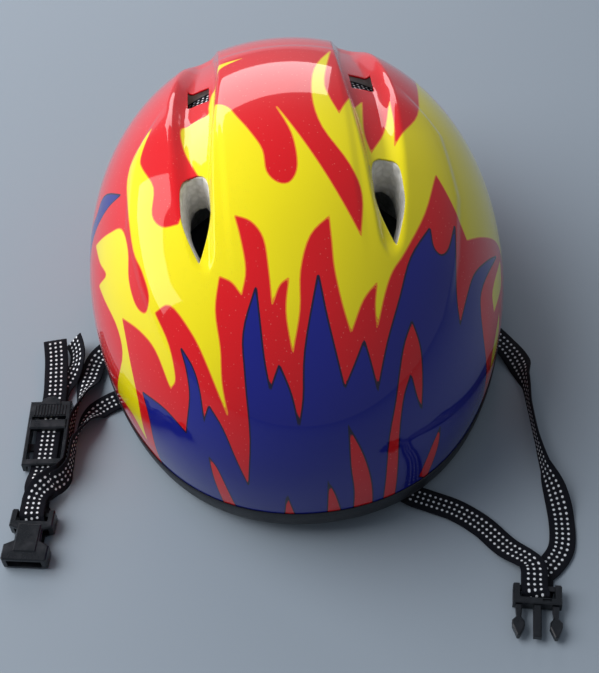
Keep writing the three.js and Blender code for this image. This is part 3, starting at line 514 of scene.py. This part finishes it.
def build_trim():
    """A band of tape folded round the rim: up over the shell's edge, under the foam and a little way in."""
    count = 240
    bearing = np.linspace(0, 2 * np.pi, count, endpoint=False)
    rim = rim_height(bearing)

    # Height over the rim, and how far inside the dome or outside the cavity.
    outside = [
        (11.9, -0.15), (11.8, -0.5), (11.2, -0.75), (8, -0.9),
        (4, -0.9), (1.4, -0.7), (0.4, -0.1), (0.0, 1.0),
    ]
    inside = [(0.0, 7.8), (0.3, 7.1), (1.1, 7.0), (1.5, 7.6)]
    back = [(1.5, 1.1), (11.1, 0.05)]

    def on_dome(height, inset):
        return facing(lambda theta: wall_point(theta, rim + height, inset), bearing)

    def on_cavity(height, outwards):
        return facing(lambda theta: cavity_point(theta, rim + height, np.full(count, -outwards)), bearing)

    rings = [on_dome(*place) for place in outside]
    rings += [on_cavity(*place) for place in inside]
    rings += [on_dome(*place) for place in back]
    points = np.array(rings).reshape(-1, 3)
    faces = grid_faces(len(rings), count, closed_rows=True, closed_columns=True)
    trim = mesh_object("rim_tape", points, faces)
    face_out(trim)
    trim.data.materials.append(trim_material())
    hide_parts("edge_trim")
    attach(trim, "helmet")


def face_out(piece):
    """Turns a closed mesh's faces outwards."""
    mesh = piece.data
    mesh.calc_loop_triangles()
    corners = np.array([[mesh.vertices[i].co[:] for i in t.vertices] for t in mesh.loop_triangles])
    volume = np.einsum("ij,ij->i", corners[:, 0], np.cross(corners[:, 1], corners[:, 2])).sum()
    if volume < 0:
        mesh.flip_normals()


# ---------------------------------------------------------------- webbing

def catmull(rows, t):
    """Point on a centripetal curve through rows, at t from 0 to 1."""
    count = len(rows)
    spot = min(max(t, 0), 1) * (count - 1)
    k = min(int(spot), count - 2)
    f = spot - k
    p1, p2 = rows[k], rows[k + 1]
    p0 = rows[k - 1] if k > 0 else p1 * 2 - p2
    p3 = rows[k + 2] if k + 2 < count else p2 * 2 - p1
    d0, d1, d2 = (max(np.linalg.norm(b - a), 1e-6) ** 0.5 for a, b in ((p0, p1), (p1, p2), (p2, p3)))
    t1 = ((p1 - p0) / d0 - (p2 - p0) / (d0 + d1) + (p2 - p1) / d1) * d1
    t2 = ((p2 - p1) / d1 - (p3 - p1) / (d1 + d2) + (p3 - p2) / d2) * d1
    return (
        (2 * f**3 - 3 * f**2 + 1) * p1 + (f**3 - 2 * f**2 + f) * t1
        + (3 * f**2 - 2 * f**3) * p2 + (f**3 - f**2) * t2
    )


def band_rings(rows, thickness, steps):
    """Centreline, and rings round a flat band that follows rows of x, y, z and width direction."""
    rows = np.array(rows, dtype=float)
    places, ways = rows[:, :3], rows[:, 3:]
    outline = []
    for turn in np.linspace(0, 2 * np.pi, 20, endpoint=False):
        c, s = math.cos(turn), math.sin(turn)
        across = WEB_WIDTH / 2 * math.copysign(abs(c) ** 0.32, c)
        through = thickness / 2 * math.copysign(abs(s) ** 0.6, s)
        outline.append((across, through))
    count = (len(rows) - 1) * steps
    centres, rings = [], []
    for i in range(count + 1):
        t = i / count
        spot = t * (len(rows) - 1)
        k = min(int(spot), len(rows) - 2)
        centre = catmull(places, t)
        along = catmull(places, t + 1e-4) - catmull(places, t - 1e-4)
        along /= np.linalg.norm(along)
        side = ways[k] * (1 - spot + k) + ways[k + 1] * (spot - k)
        side -= along * side.dot(along)
        side /= np.linalg.norm(side)
        face = np.cross(side, along)
        ring = np.array([centre + side * a + face * b for a, b in outline])
        lift = max(0, TABLE_GAP - ring[:, 2].min())
        centres.append(centre + [0, 0, lift])
        rings.append(ring + [0, 0, lift])
    return np.array(centres), np.array(rings), np.array([a for a, _ in outline])


def build_band(name, rows, replaced, thickness=WEB_THICKNESS, steps=8):
    """A length of webbing. Returns the piece and its centreline in metres."""
    centres, rings, across = band_rings(rows, thickness, steps)
    count, sides = rings.shape[:2]
    faces = grid_faces(count, sides, closed_columns=True).tolist()
    faces += [list(range(sides))[::-1], list(range((count - 1) * sides, count * sides))]
    band = mesh_object(name, rings.reshape(-1, 3), faces)
    face_out(band)
    travelled = np.concatenate([[0], np.cumsum(np.linalg.norm(np.diff(centres, axis=0), axis=1))])
    add_attribute(band, "along_mm", np.repeat(travelled, sides))
    add_attribute(band, "across_mm", np.tile(across, count))
    band.data.materials.append(webbing_material())
    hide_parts(*replaced)
    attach(band, "helmet")
    return band, (centres + [0, SHIFT_Y, 0]) * MM


def placed(piece, rows):
    """Rows given beside a buckle piece, in the dome's frame."""
    (x0, y0), yaw = piece
    c, s = math.cos(math.radians(yaw)), math.sin(math.radians(yaw))
    return [
        (x0 + x * c - y * s, y0 + x * s + y * c, z, wx * c - wy * s, wx * s + wy * c, wz)
        for x, y, z, wx, wy, wz in rows
    ]


def on_wall(degrees, z, sign, lean=0.0):
    """A row on the cavity's wall, with the band flat against it."""

    def at(angle, height):
        return cavity_point(np.array(math.radians(angle)), np.array(float(height)), np.array(WALL_GAP))

    here = at(degrees, z)
    above = at(degrees, z + 1) - here
    beside = at(degrees + sign, z) - here
    way = beside / np.linalg.norm(beside) + above / np.linalg.norm(above) * lean
    return (*here, *way)


# Rows of x, y, z and the direction of the webbing's width, from each slot in the liner to the end.
PLUG_REAR_ARM = [
    on_wall(16, 50, 1), on_wall(12, 34, 1), on_wall(6, 19, 1), on_wall(2, 11, 1),
    (82.5, -7, 7.4, 0.3, 0.95, 0), (92.5, -16, 5.6, 0.7, 0.7, 0), (103, -30, 3.2, 0.8, 0.6, 0),
    (107.6, -42, 3.4, 0.85, 0.2, 0.4), (108.4, -55, 5.8, 0.2, 0, 0.95), (107.4, -72, 6.4, 0, 0, 1),
    (107.2, -90, 6.4, 0, 0, 1), (108, -106, 5.8, 0.2, 0.1, 0.95), (110.4, -120, 3.4, 0.8, 0.2, 0.5),
    (110.6, -133, 0.95, 1, -0.1, 0), (107.5, -148, 0.95, 0.96, -0.28, 0),
]
PLUG_FOLD = placed(PLUG, [
    (6.4, 12.5, 0.95, 0.95, -0.3, 0), (2, 7.4, 0.95, 1, 0, 0), (1.4, 3.4, 1.0, 1, 0, 0),
    (1.3, -0.6, 1.1, 1, 0, 0), (0.9, -3.6, 1.4, 1, 0, 0), (0, -5, 3.25, 1, 0, 0),
    (-0.9, -3.6, 5.1, 1, 0, 0), (-1.3, -0.6, 5.4, 1, 0, 0), (-1.4, 3.2, 5.4, 1, 0, 0),
    (-1.4, 6, 5.4, 1, 0, 0), (-2.6, 11, 4.6, 1, 0.1, 0),
])
PLUG_FRONT_ARM = [
    (82.5, -144.5, 1.6, 0.85, 0.5, 0), (73.5, -132, 0.95, 0.72, 0.7, 0), (63, -122.5, 0.95, 0.55, 0.83, 0),
    (52.5, -116.5, 0.95, 0.35, 0.93, 0), (43, -111.5, 1.6, 0.42, 0.9, 0), (38.2, -106, 2, 0.75, 0.6, 0),
    (35.6, -99, 2.3, 0.95, 0.3, 0), (34.6, -94, 2.9, 0.97, 0.2, 0), (34, -90, 4.1, 0.95, 0.3, 0),
    (33.6, -86.2, 6.2, 0.87, 0.49, 0),
    on_wall(-65.5, 11.5, 1), on_wall(-64, 22, 1), on_wall(-59, 36, 1), on_wall(-57, 50, 1),
]
SOCKET_REAR_ARM = [
    on_wall(164, 50, -1), on_wall(168, 34, -1), on_wall(174, 19, -1), on_wall(178, 11, -1),
    (-83.5, -3, 7.2, -0.3, 0.93, 0), (-94.5, -5.5, 6, -0.45, 0.9, 0), (-105.5, -12.5, 3.2, -0.75, 0.65, 0),
    (-110, -25, 2.6, -0.93, 0.3, -0.1), (-113.2, -38, 4.6, -0.5, 0.1, -0.8),
] + placed(SLIDER, [
    (11.8, 6, 6.4, 0, 0, -1), (11.7, -8, 6.4, 0, 0, -1), (11.4, -20, 6.4, 0.05, 0, -1),
    (9.8, -26, 7.6, 0.45, 0, -0.89), (5.6, -30.5, 9.1, 0.88, 0, -0.47), (1.6, -34.5, 8.7, 1, 0, -0.12),
])
SOCKET_FRONT_ARM = [
    on_wall(-124, 48, -1, 0.7), on_wall(-134, 37, -1, 0.8), on_wall(-146, 25, -1, 0.7),
    on_wall(-157, 14, -1, 0.4), on_wall(-160, 5, -1),
    (-77, -33.1, 2.1, -0.25, 0.95, 0), (-82, -34.8, 1.9, -0.25, 0.96, 0), (-90, -37.5, 1.5, -0.2, 0.97, 0),
    (-97.5, -39.5, 1.3, -0.15, 0.98, 0), (-106, -44.5, 0.95, -0.6, 0.8, 0),
    (-111.5, -53.5, 3.2, -0.6, 0.3, -0.7),
] + placed(SLIDER, [
    (14.2, -8, 6.4, 0, 0, -1), (13.6, -20, 6.4, 0.05, 0, -1), (11.4, -27, 6.5, 0.45, 0, -0.89),
    (6.6, -32, 7.9, 0.9, 0, -0.42), (2.2, -35.5, 7.3, 1, 0, -0.1),
])
TAIL_UPPER = placed(SOCKET, [(-1.1, 3.2, 2.2, 1, 0, 0), (-1.1, 7, 3.6, 1, 0, 0)]) + placed(SLIDER, [
    (-1, -31, 6.2, 1, 0, 0), (-0.8, -27, 5.6, 1, 0, 0), (-0.4, -22.5, 4.1, 1, 0, 0),
    (0, -18, 3.78, 1, 0, 0), (0.3, 0, 3.78, 1, 0, 0), (0.6, 22, 3.78, 1, 0, 0), (0.5, 28, 3.95, 1, 0, 0),
    (0, 36, 4.7, 1, 0.05, 0), (-1, 47, 5.4, 1, 0.1, 0), (-2.8, 58, 6.6, 1, 0.15, 0),
])
TAIL_LOWER = placed(SOCKET, [(-1.1, 3.2, 1.0, 1, 0, 0), (-1.1, 7, 2.2, 1, 0, 0)]) + placed(SLIDER, [
    (-0.6, -31, 4.9, 1, 0, 0), (-0.2, -27, 4.2, 1, 0, 0), (0.5, -22.5, 2.6, 1, 0, 0),
    (1.1, -18, 2.36, 1, 0, 0), (1.4, 0, 2.36, 1, 0, 0), (1.8, 27, 2.36, 1, 0, 0),
    (5.8, 36, 2.3, 0.99, 0, 0.12), (9.6, 44, 4.4, 0.78, 0, 0.62), (9.2, 52, 5.2, 0.72, 0, 0.7),
    (6.6, 59, 5.4, 0.72, 0.15, 0.68),
])
# The two plies round the socket's bar.
OUTER_FOLD = placed(SOCKET, [
    (-1, 6, 7.5, 1, 0, 0), (-1.1, 2.6, 7.05, 1, 0, 0), (-1.1, -0.6, 7.0, 1, 0, 0),
    (-0.8, -3.9, 6.5, 1, 0, 0), (0, -5.5, 4, 1, 0, 0), (0.8, -3.9, 1.5, 1, 0, 0), (1.1, -0.6, 1.0, 1, 0, 0),
])
INNER_FOLD = placed(SOCKET, [
    (-1, 6, 6.3, 1, 0, 0), (-1.1, 2.6, 5.95, 1, 0, 0), (-1.1, -0.6, 5.9, 1, 0, 0),
    (-0.8, -3.2, 5.5, 1, 0, 0), (0, -4.3, 4, 1, 0, 0), (0.8, -3.2, 2.5, 1, 0, 0), (1.1, -0.6, 2.1, 1, 0, 0),
])


def build_straps():
    """One webbing folded round the plug's bar, and two folded round the socket's bar into the tails."""
    rows = PLUG_REAR_ARM + PLUG_FOLD + PLUG_FRONT_ARM
    band, path = build_band("plug_strap", rows, ["plug_strap_rear", "plug_strap_loop", "plug_strap_front"])
    rows = SOCKET_REAR_ARM + OUTER_FOLD + TAIL_LOWER
    replaced = ["socket_strap_rear", "socket_strap_loop", "tail_lower"]
    band, path = build_band("socket_strap_outer", rows, replaced, PLY_THICKNESS)
    rows = SOCKET_FRONT_ARM + INNER_FOLD + TAIL_UPPER
    band, path = build_band("socket_strap_inner", rows, ["socket_strap_front", "tail_upper"], PLY_THICKNESS)


# ---------------------------------------------------------------- comfort pads

def puffed(puff, near, far):
    """Distance from the cavity's wall to a pad's face, from its edge to where it is fullest."""
    return near + (far - near) * (0.25 + 0.75 * puff)


def build_pad(name, centre, half, low, high):
    """A fabric-covered pad on the cavity's wall, with a flat welded edge all round."""
    across, upward = 48, 32
    s, t = np.meshgrid(np.linspace(-1, 1, across), np.linspace(-1, 1, upward), indexing="ij")
    round_off = np.sqrt(np.maximum(0, 1 - np.abs(s) ** 3.2))
    z = (low + high) / 2 + (high - low) / 2 * (0.55 + 0.45 * round_off) * t
    theta = np.radians(centre + half * s)
    edge = np.maximum(np.abs(s), np.abs(t))
    puff = np.maximum(0, 1 - (edge / 0.86) ** 4) ** 0.5
    weld = PAD_NEAR + (PAD_FAR - PAD_NEAR) * PAD_WELD
    front = cavity_point(theta, z, np.where(edge > 0.999, weld, puffed(puff, PAD_NEAR, PAD_FAR)))
    back = cavity_point(theta, z, np.full(edge.shape, PAD_NEAR))
    points = np.vstack([front.reshape(-1, 3), back.reshape(-1, 3)])
    faces = grid_faces(across, upward)
    total = across * upward
    ring = [i * upward for i in range(across)] + [(across - 1) * upward + j for j in range(1, upward)]
    ring += [i * upward + upward - 1 for i in range(across - 2, -1, -1)] + list(range(upward - 2, 0, -1))
    walls = [[a, b, b + total, a + total] for a, b in zip(ring, ring[1:] + ring[:1])]
    pad = mesh_object(name + "_cover", points, faces.tolist() + (faces[:, ::-1] + total).tolist() + walls)
    finish_pad(pad, name)


def finish_pad(pad, node):
    mend_normals(pad)
    pad.data.materials.append(pad_material())
    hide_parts(node)
    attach(pad, "helmet")


def mend_normals(piece):
    """Makes every face agree with its neighbours, facing out."""
    work = bmesh.new()
    work.from_mesh(piece.data)
    bmesh.ops.recalc_face_normals(work, faces=work.faces)
    work.to_mesh(piece.data)
    work.free()


def build_crown_pad(around=72):
    """A round pad under the crown, following the cavity's roof."""
    radius, near, far = CROWN_PAD["radius"], CROWN_PAD["near"], CROWN_PAD["far"]
    top = DOME["centre_z"] + CAVITY["crown"]

    def roof(r):
        return top - CAVITY["crown"] * (1 - np.sqrt(1 - (r / CAVITY["half_width"]) ** 2))

    out = np.linspace(0, 1, 24)[1:]
    puff = np.maximum(0, 1 - (out / 0.88) ** 5) ** 0.5
    under = np.column_stack([out * radius, roof(out * radius) - puffed(puff, near, far)])
    over = np.column_stack([out[::-1] * radius, roof(out[::-1] * radius) - near])
    profile = np.vstack([under, over])
    turn = np.linspace(0, 2 * np.pi, around, endpoint=False)
    middle = CAVITY["centre_y"]
    rings = [
        np.column_stack([r * np.cos(turn), r * np.sin(turn) + middle, np.full(around, z)])
        for r, z in profile
    ]
    points = np.vstack(rings + [[[0, middle, top - far]], [[0, middle, top - near]]])
    faces = grid_faces(len(profile), around, closed_columns=True).tolist()
    low, high, last = len(points) - 2, len(points) - 1, (len(profile) - 1) * around
    for j in range(around):
        beside = (j + 1) % around
        faces += [[low, j, beside], [high, last + beside, last + j]]
    finish_pad(mesh_object("crown_pad_cover", points, faces), "crown_pad")


def build_pads():
    for name, place in PADS.items():
        build_pad(name, *place)
    build_crown_pad()


# ---------------------------------------------------------------- webbing through the rear vents

def slice_point(y, phi, inset):
    """Surface point in the upright plane at y, at an angle in radians from straight up towards +X."""
    length = DOME["front"] if y < 0 else DOME["rear"]
    left = 1 - (abs(y) / length) ** POWER
    s, c = math.sin(phi), math.cos(phi)
    width = DOME["half_width"] * (1 + EGG["share"] * y / EGG["length"])
    across = (abs(s) / width) ** POWER + (abs(c) / DOME["crown"]) ** POWER
    reach = (left / across) ** (1 / POWER) - inset
    return s * reach, y, DOME["centre_z"] + c * reach


def build_bridge():
    """The band over the foam under the shell, from one rear vent to the other and down to both sides."""
    rows = []
    y = REAR_BRIDGE["y"]
    slope = -y / DOME["rear"] ** 2 / math.sqrt(1 - (y / DOME["rear"]) ** 2)
    for k in range(-8, 9):
        phi = math.radians(REAR_BRIDGE["end"] * k / 8)
        rise = float(smoothstep(np.array(abs(math.degrees(phi))), REAR_BRIDGE["sink"], REAR_BRIDGE["rise"]))
        inset = REAR_BRIDGE["sunk"] + (REAR_BRIDGE["near"] - REAR_BRIDGE["sunk"]) * rise
        inset += 2 if abs(k) == 8 else 0
        lean = (DOME["half_width"] * slope * math.sin(phi), 1, DOME["crown"] * slope * math.cos(phi))
        rows.append((*slice_point(y, phi, inset), *lean))
    place = (math.radians(BRIDGE_MOUTH["degrees"]), BRIDGE_MOUTH["z"], BRIDGE_MOUTH["inset"])
    mouth = cavity_point(*(np.array(value) for value in place))
    first = rows[0]
    ends = []
    for f in (1, 0.62, 0.3):
        x, y, z = (a + (b - a) * f for a, b in zip(first, (-mouth[0], mouth[1], mouth[2])))
        ends.append((x, y, z - 2 * math.sin(math.pi * f), 0, 1, 0))
    mirrored = [(-x, y, z, 0, 1, 0) for x, y, z, *_ in ends][::-1]
    build_band("rear_bridge_web", ends + rows + mirrored, ["rear_strap_bridge"], steps=4)


# ---------------------------------------------------------------- materials

class Shader:
    """A small helper round one material's nodes."""

    def __init__(self, name, **constants):
        self.material = bpy.data.materials.new(name)
        self.material.use_nodes = True
        self.nodes = self.material.node_tree.nodes
        self.links = self.material.node_tree.links
        self.surface = self.nodes["Principled BSDF"]
        for key, value in constants.items():
            self.surface.inputs[key.replace("_", " ")].default_value = value

    def node(self, kind, inputs=None, **settings):
        made = self.nodes.new(kind)
        for key, value in settings.items():
            setattr(made, key, value)
        for key, value in (inputs or {}).items():
            self.feed(made.inputs[key], value)
        return made

    def feed(self, socket, value):
        if isinstance(value, bpy.types.NodeSocket):
            self.links.new(value, socket)
        else:
            socket.default_value = value

    def math(self, operation, a, b=0.0):
        return self.node("ShaderNodeMath", {0: a, 1: b}, operation=operation).outputs[0]

    def attribute(self, name):
        return self.node("ShaderNodeAttribute", attribute_name=name).outputs["Fac"]

    def place(self):
        return self.node("ShaderNodeTexCoord").outputs["Object"]

    def noise(self, scale, detail=2.0, roughness=0.5):
        inputs = {"Vector": self.place(), "Scale": scale, "Detail": detail, "Roughness": roughness}
        return self.node("ShaderNodeTexNoise", inputs).outputs["Fac"]

    def cells(self, scale):
        inputs = {"Vector": self.place(), "Scale": scale}
        return self.node("ShaderNodeTexVoronoi", inputs).outputs["Distance"]

    def ramp(self, value, low, high, start=0.0, end=1.0):
        inputs = {"Value": value, "From Min": low, "From Max": high, "To Min": start, "To Max": end}
        return self.node("ShaderNodeMapRange", inputs, interpolation_type="SMOOTHSTEP").outputs["Result"]

    def mix(self, factor, a, b):
        made = self.node("ShaderNodeMix", data_type="RGBA")
        self.feed(made.inputs[0], factor)
        self.feed(made.inputs[6], a)
        self.feed(made.inputs[7], b)
        return made.outputs[2]

    def bump(self, height, distance, strength):
        inputs = {"Height": height, "Distance": distance, "Strength": strength}
        return self.node("ShaderNodeBump", inputs).outputs["Normal"]

    def use(self, **sockets):
        for key, value in sockets.items():
            self.feed(self.surface.inputs[key.replace("_", " ")], value)
        return self.material


def once(make):
    """Makes a material the first time it is asked for."""
    made = {}

    def wrapped():
        if make not in made:
            made[make] = make()
        return made[make]

    return wrapped


@once
def floor_material():
    shader = Shader("table_top", Roughness=0.62)
    tone = shader.noise(1.3, 2)
    colour = shader.mix(tone, (0.235, 0.275, 0.315, 1), (0.26, 0.3, 0.34, 1))
    return shader.use(Base_Color=colour)


@once
def shell_material():
    """Printed gloss film: red, yellow and blue flames with thin outlines, and fine glitter in the red."""
    shader = Shader("printed_shell", Roughness=0.35, Coat_Weight=1.0, Coat_Roughness=0.035)
    shader.surface.inputs["Specular IOR Level"].default_value = 0.08
    yellow, blue = shader.attribute("yellow_depth"), shader.attribute("blue_depth")
    worn = shader.noise(14, 3)
    red = shader.mix(worn, (0.6, 0.003, 0.006, 1), (0.7, 0.005, 0.009, 1))
    glitter = shader.ramp(shader.cells(420), 0.08, 0.16, 0.28, 0)
    red = shader.mix(glitter, red, (0.9, 0.25, 0.2, 1))
    gold = shader.mix(worn, (0.80, 0.66, 0.0, 1), (0.86, 0.73, 0.004, 1))
    deep = shader.mix(worn, (0.005, 0.008, 0.17, 1), (0.007, 0.012, 0.24, 1))
    colour = shader.mix(shader.ramp(yellow, -0.34, -0.16), red, (0.8, 0.24, 0.01, 1))
    colour = shader.mix(shader.ramp(yellow, -0.04, 0.14), colour, gold)
    colour = shader.mix(shader.ramp(blue, -0.48, -0.28), colour, (0.008, 0.006, 0.03, 1))
    colour = shader.mix(shader.ramp(blue, -0.02, 0.16), colour, deep)
    ripple = shader.bump(shader.noise(26, 2), 0.0006, 0.25)
    return shader.use(Base_Color=colour, Normal=ripple)


@once
def foam_material():
    """Moulded bead foam: pale, with the outlines of its beads."""
    shader = Shader("bead_foam", Roughness=0.78)
    beads = shader.cells(330)
    tone = shader.mix(shader.ramp(beads, 0.2, 0.75), (0.86, 0.84, 0.8, 1), (0.7, 0.68, 0.63, 1))
    dirt = shader.noise(40, 3)
    colour = shader.mix(shader.ramp(dirt, 0.5, 0.8, 0, 0.25), tone, (0.5, 0.47, 0.42, 1))
    return shader.use(Base_Color=colour, Normal=shader.bump(beads, 0.0005, 0.6))


@once
def trim_material():
    shader = Shader("rim_tape", Roughness=0.5)
    grain = shader.noise(900, 2)
    scuffs = shader.noise(60, 4, 0.65)
    colour = shader.mix(shader.ramp(scuffs, 0.45, 0.75), (0.006, 0.007, 0.01, 1), (0.015, 0.017, 0.022, 1))
    rough = shader.ramp(scuffs, 0.35, 0.75, 0.42, 0.62)
    return shader.use(Base_Color=colour, Roughness=rough, Normal=shader.bump(grain, 0.0002, 0.5))


@once
def webbing_material():
    """Black webbing with three columns of white woven dots on both faces."""
    shader = Shader("dotted_webbing", Roughness=0.85)
    shader.surface.inputs["Specular IOR Level"].default_value = 0.2
    along, across = shader.attribute("along_mm"), shader.attribute("across_mm")
    step = shader.math("PINGPONG", along, DOT["along"])
    column = shader.math("PINGPONG", across, DOT["across"])
    squares = [shader.math("MULTIPLY", side, side) for side in (step, column)]
    apart = shader.math("SQRT", shader.math("ADD", *squares))
    dot = shader.ramp(apart, DOT["radius"] - 0.1, DOT["radius"] + 0.1, 1, 0)
    aside = shader.math("ABSOLUTE", across)
    middle = shader.ramp(aside, DOT["outermost"] - 0.1, DOT["outermost"] + 0.1, 1, 0)
    dot = shader.math("MULTIPLY", dot, middle)
    warp = shader.math("SINE", shader.math("MULTIPLY", across, 9.0))
    weft = shader.math("SINE", shader.math("MULTIPLY", along, 7.0))
    weave = shader.math("MULTIPLY", warp, weft)
    shade = shader.mix(shader.ramp(weave, -1, 1), (0.003, 0.003, 0.005, 1), (0.009, 0.01, 0.014, 1))
    white = shader.mix(shader.ramp(weave, -1, 1), (0.56, 0.57, 0.6, 1), (0.84, 0.85, 0.87, 1))
    colour = shader.mix(dot, shade, white)
    height = shader.math("ADD", shader.math("MULTIPLY", weave, 0.35), dot)
    return shader.use(Base_Color=colour, Normal=shader.bump(height, 0.00025, 0.8))


@once
def plain_webbing_material():
    shader = Shader("plain_webbing", Roughness=0.85, Sheen_Weight=0.15)
    weave = shader.cells(1100)
    colour = shader.mix(weave, (0.007, 0.008, 0.012, 1), (0.02, 0.022, 0.03, 1))
    return shader.use(Base_Color=colour, Normal=shader.bump(weave, 0.0002, 0.6))


@once
def pad_material():
    """Brushed knit over thin foam."""
    shader = Shader("pad_fabric", Roughness=0.95, Sheen_Weight=0.4, Sheen_Roughness=0.6)
    nap = shader.noise(1500, 3, 0.7)
    rub = shader.noise(45, 3)
    colour = shader.mix(nap, (0.012, 0.013, 0.017, 1), (0.045, 0.047, 0.055, 1))
    colour = shader.mix(shader.ramp(rub, 0.5, 0.75, 0, 0.4), colour, (0.06, 0.06, 0.066, 1))
    return shader.use(Base_Color=colour, Normal=shader.bump(nap, 0.0004, 0.7))


@once
def hook_material():
    shader = Shader("hook_patch", Roughness=0.9)
    hooks = shader.cells(1300)
    colour = shader.mix(hooks, (0.03, 0.03, 0.034, 1), (0.006, 0.006, 0.008, 1))
    return shader.use(Base_Color=colour, Normal=shader.bump(hooks, 0.0004, 0.9))


@once
def buckle_material():
    """Moulded acetal: near black, with a fine spark-eroded grain and rubbed patches."""
    shader = Shader("moulded_buckle", Roughness=0.32)
    grain = shader.noise(2600, 2)
    rub = shader.noise(160, 4, 0.6)
    colour = shader.mix(shader.ramp(rub, 0.45, 0.75), (0.006, 0.007, 0.009, 1), (0.016, 0.017, 0.021, 1))
    rough = shader.ramp(rub, 0.35, 0.7, 0.26, 0.42)
    return shader.use(Base_Color=colour, Roughness=rough, Normal=shader.bump(grain, 0.00008, 0.5))


def dress(node, material, bevel=0.0):
    """Gives a kept CAD node its material, and softens its edges a little."""
    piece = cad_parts[node]
    piece.data.materials.clear()
    piece.data.materials.append(material)
    if bevel:
        ease = piece.modifiers.new("ease", "BEVEL")
        ease.width = bevel * MM
        ease.segments = 2
        ease.limit_method = "ANGLE"
        ease.angle_limit = math.radians(40)


def dress_kept_nodes():
    dress("foam_liner", foam_material())
    dress("front_strap_bridge", plain_webbing_material())
    for node in ("plug_body", "plug_arm_left", "plug_arm_right", "socket_body", "slider_frame"):
        dress(node, buckle_material(), bevel=0.2)
    for pad in (*PADS, "crown_pad"):
        dress(pad + "_hook_patch", hook_material())


# ---------------------------------------------------------------- the scene

add_camera()
build_straps()
add_surroundings()
build_shell()
build_trim()
build_pads()
build_bridge()
dress_kept_nodes()
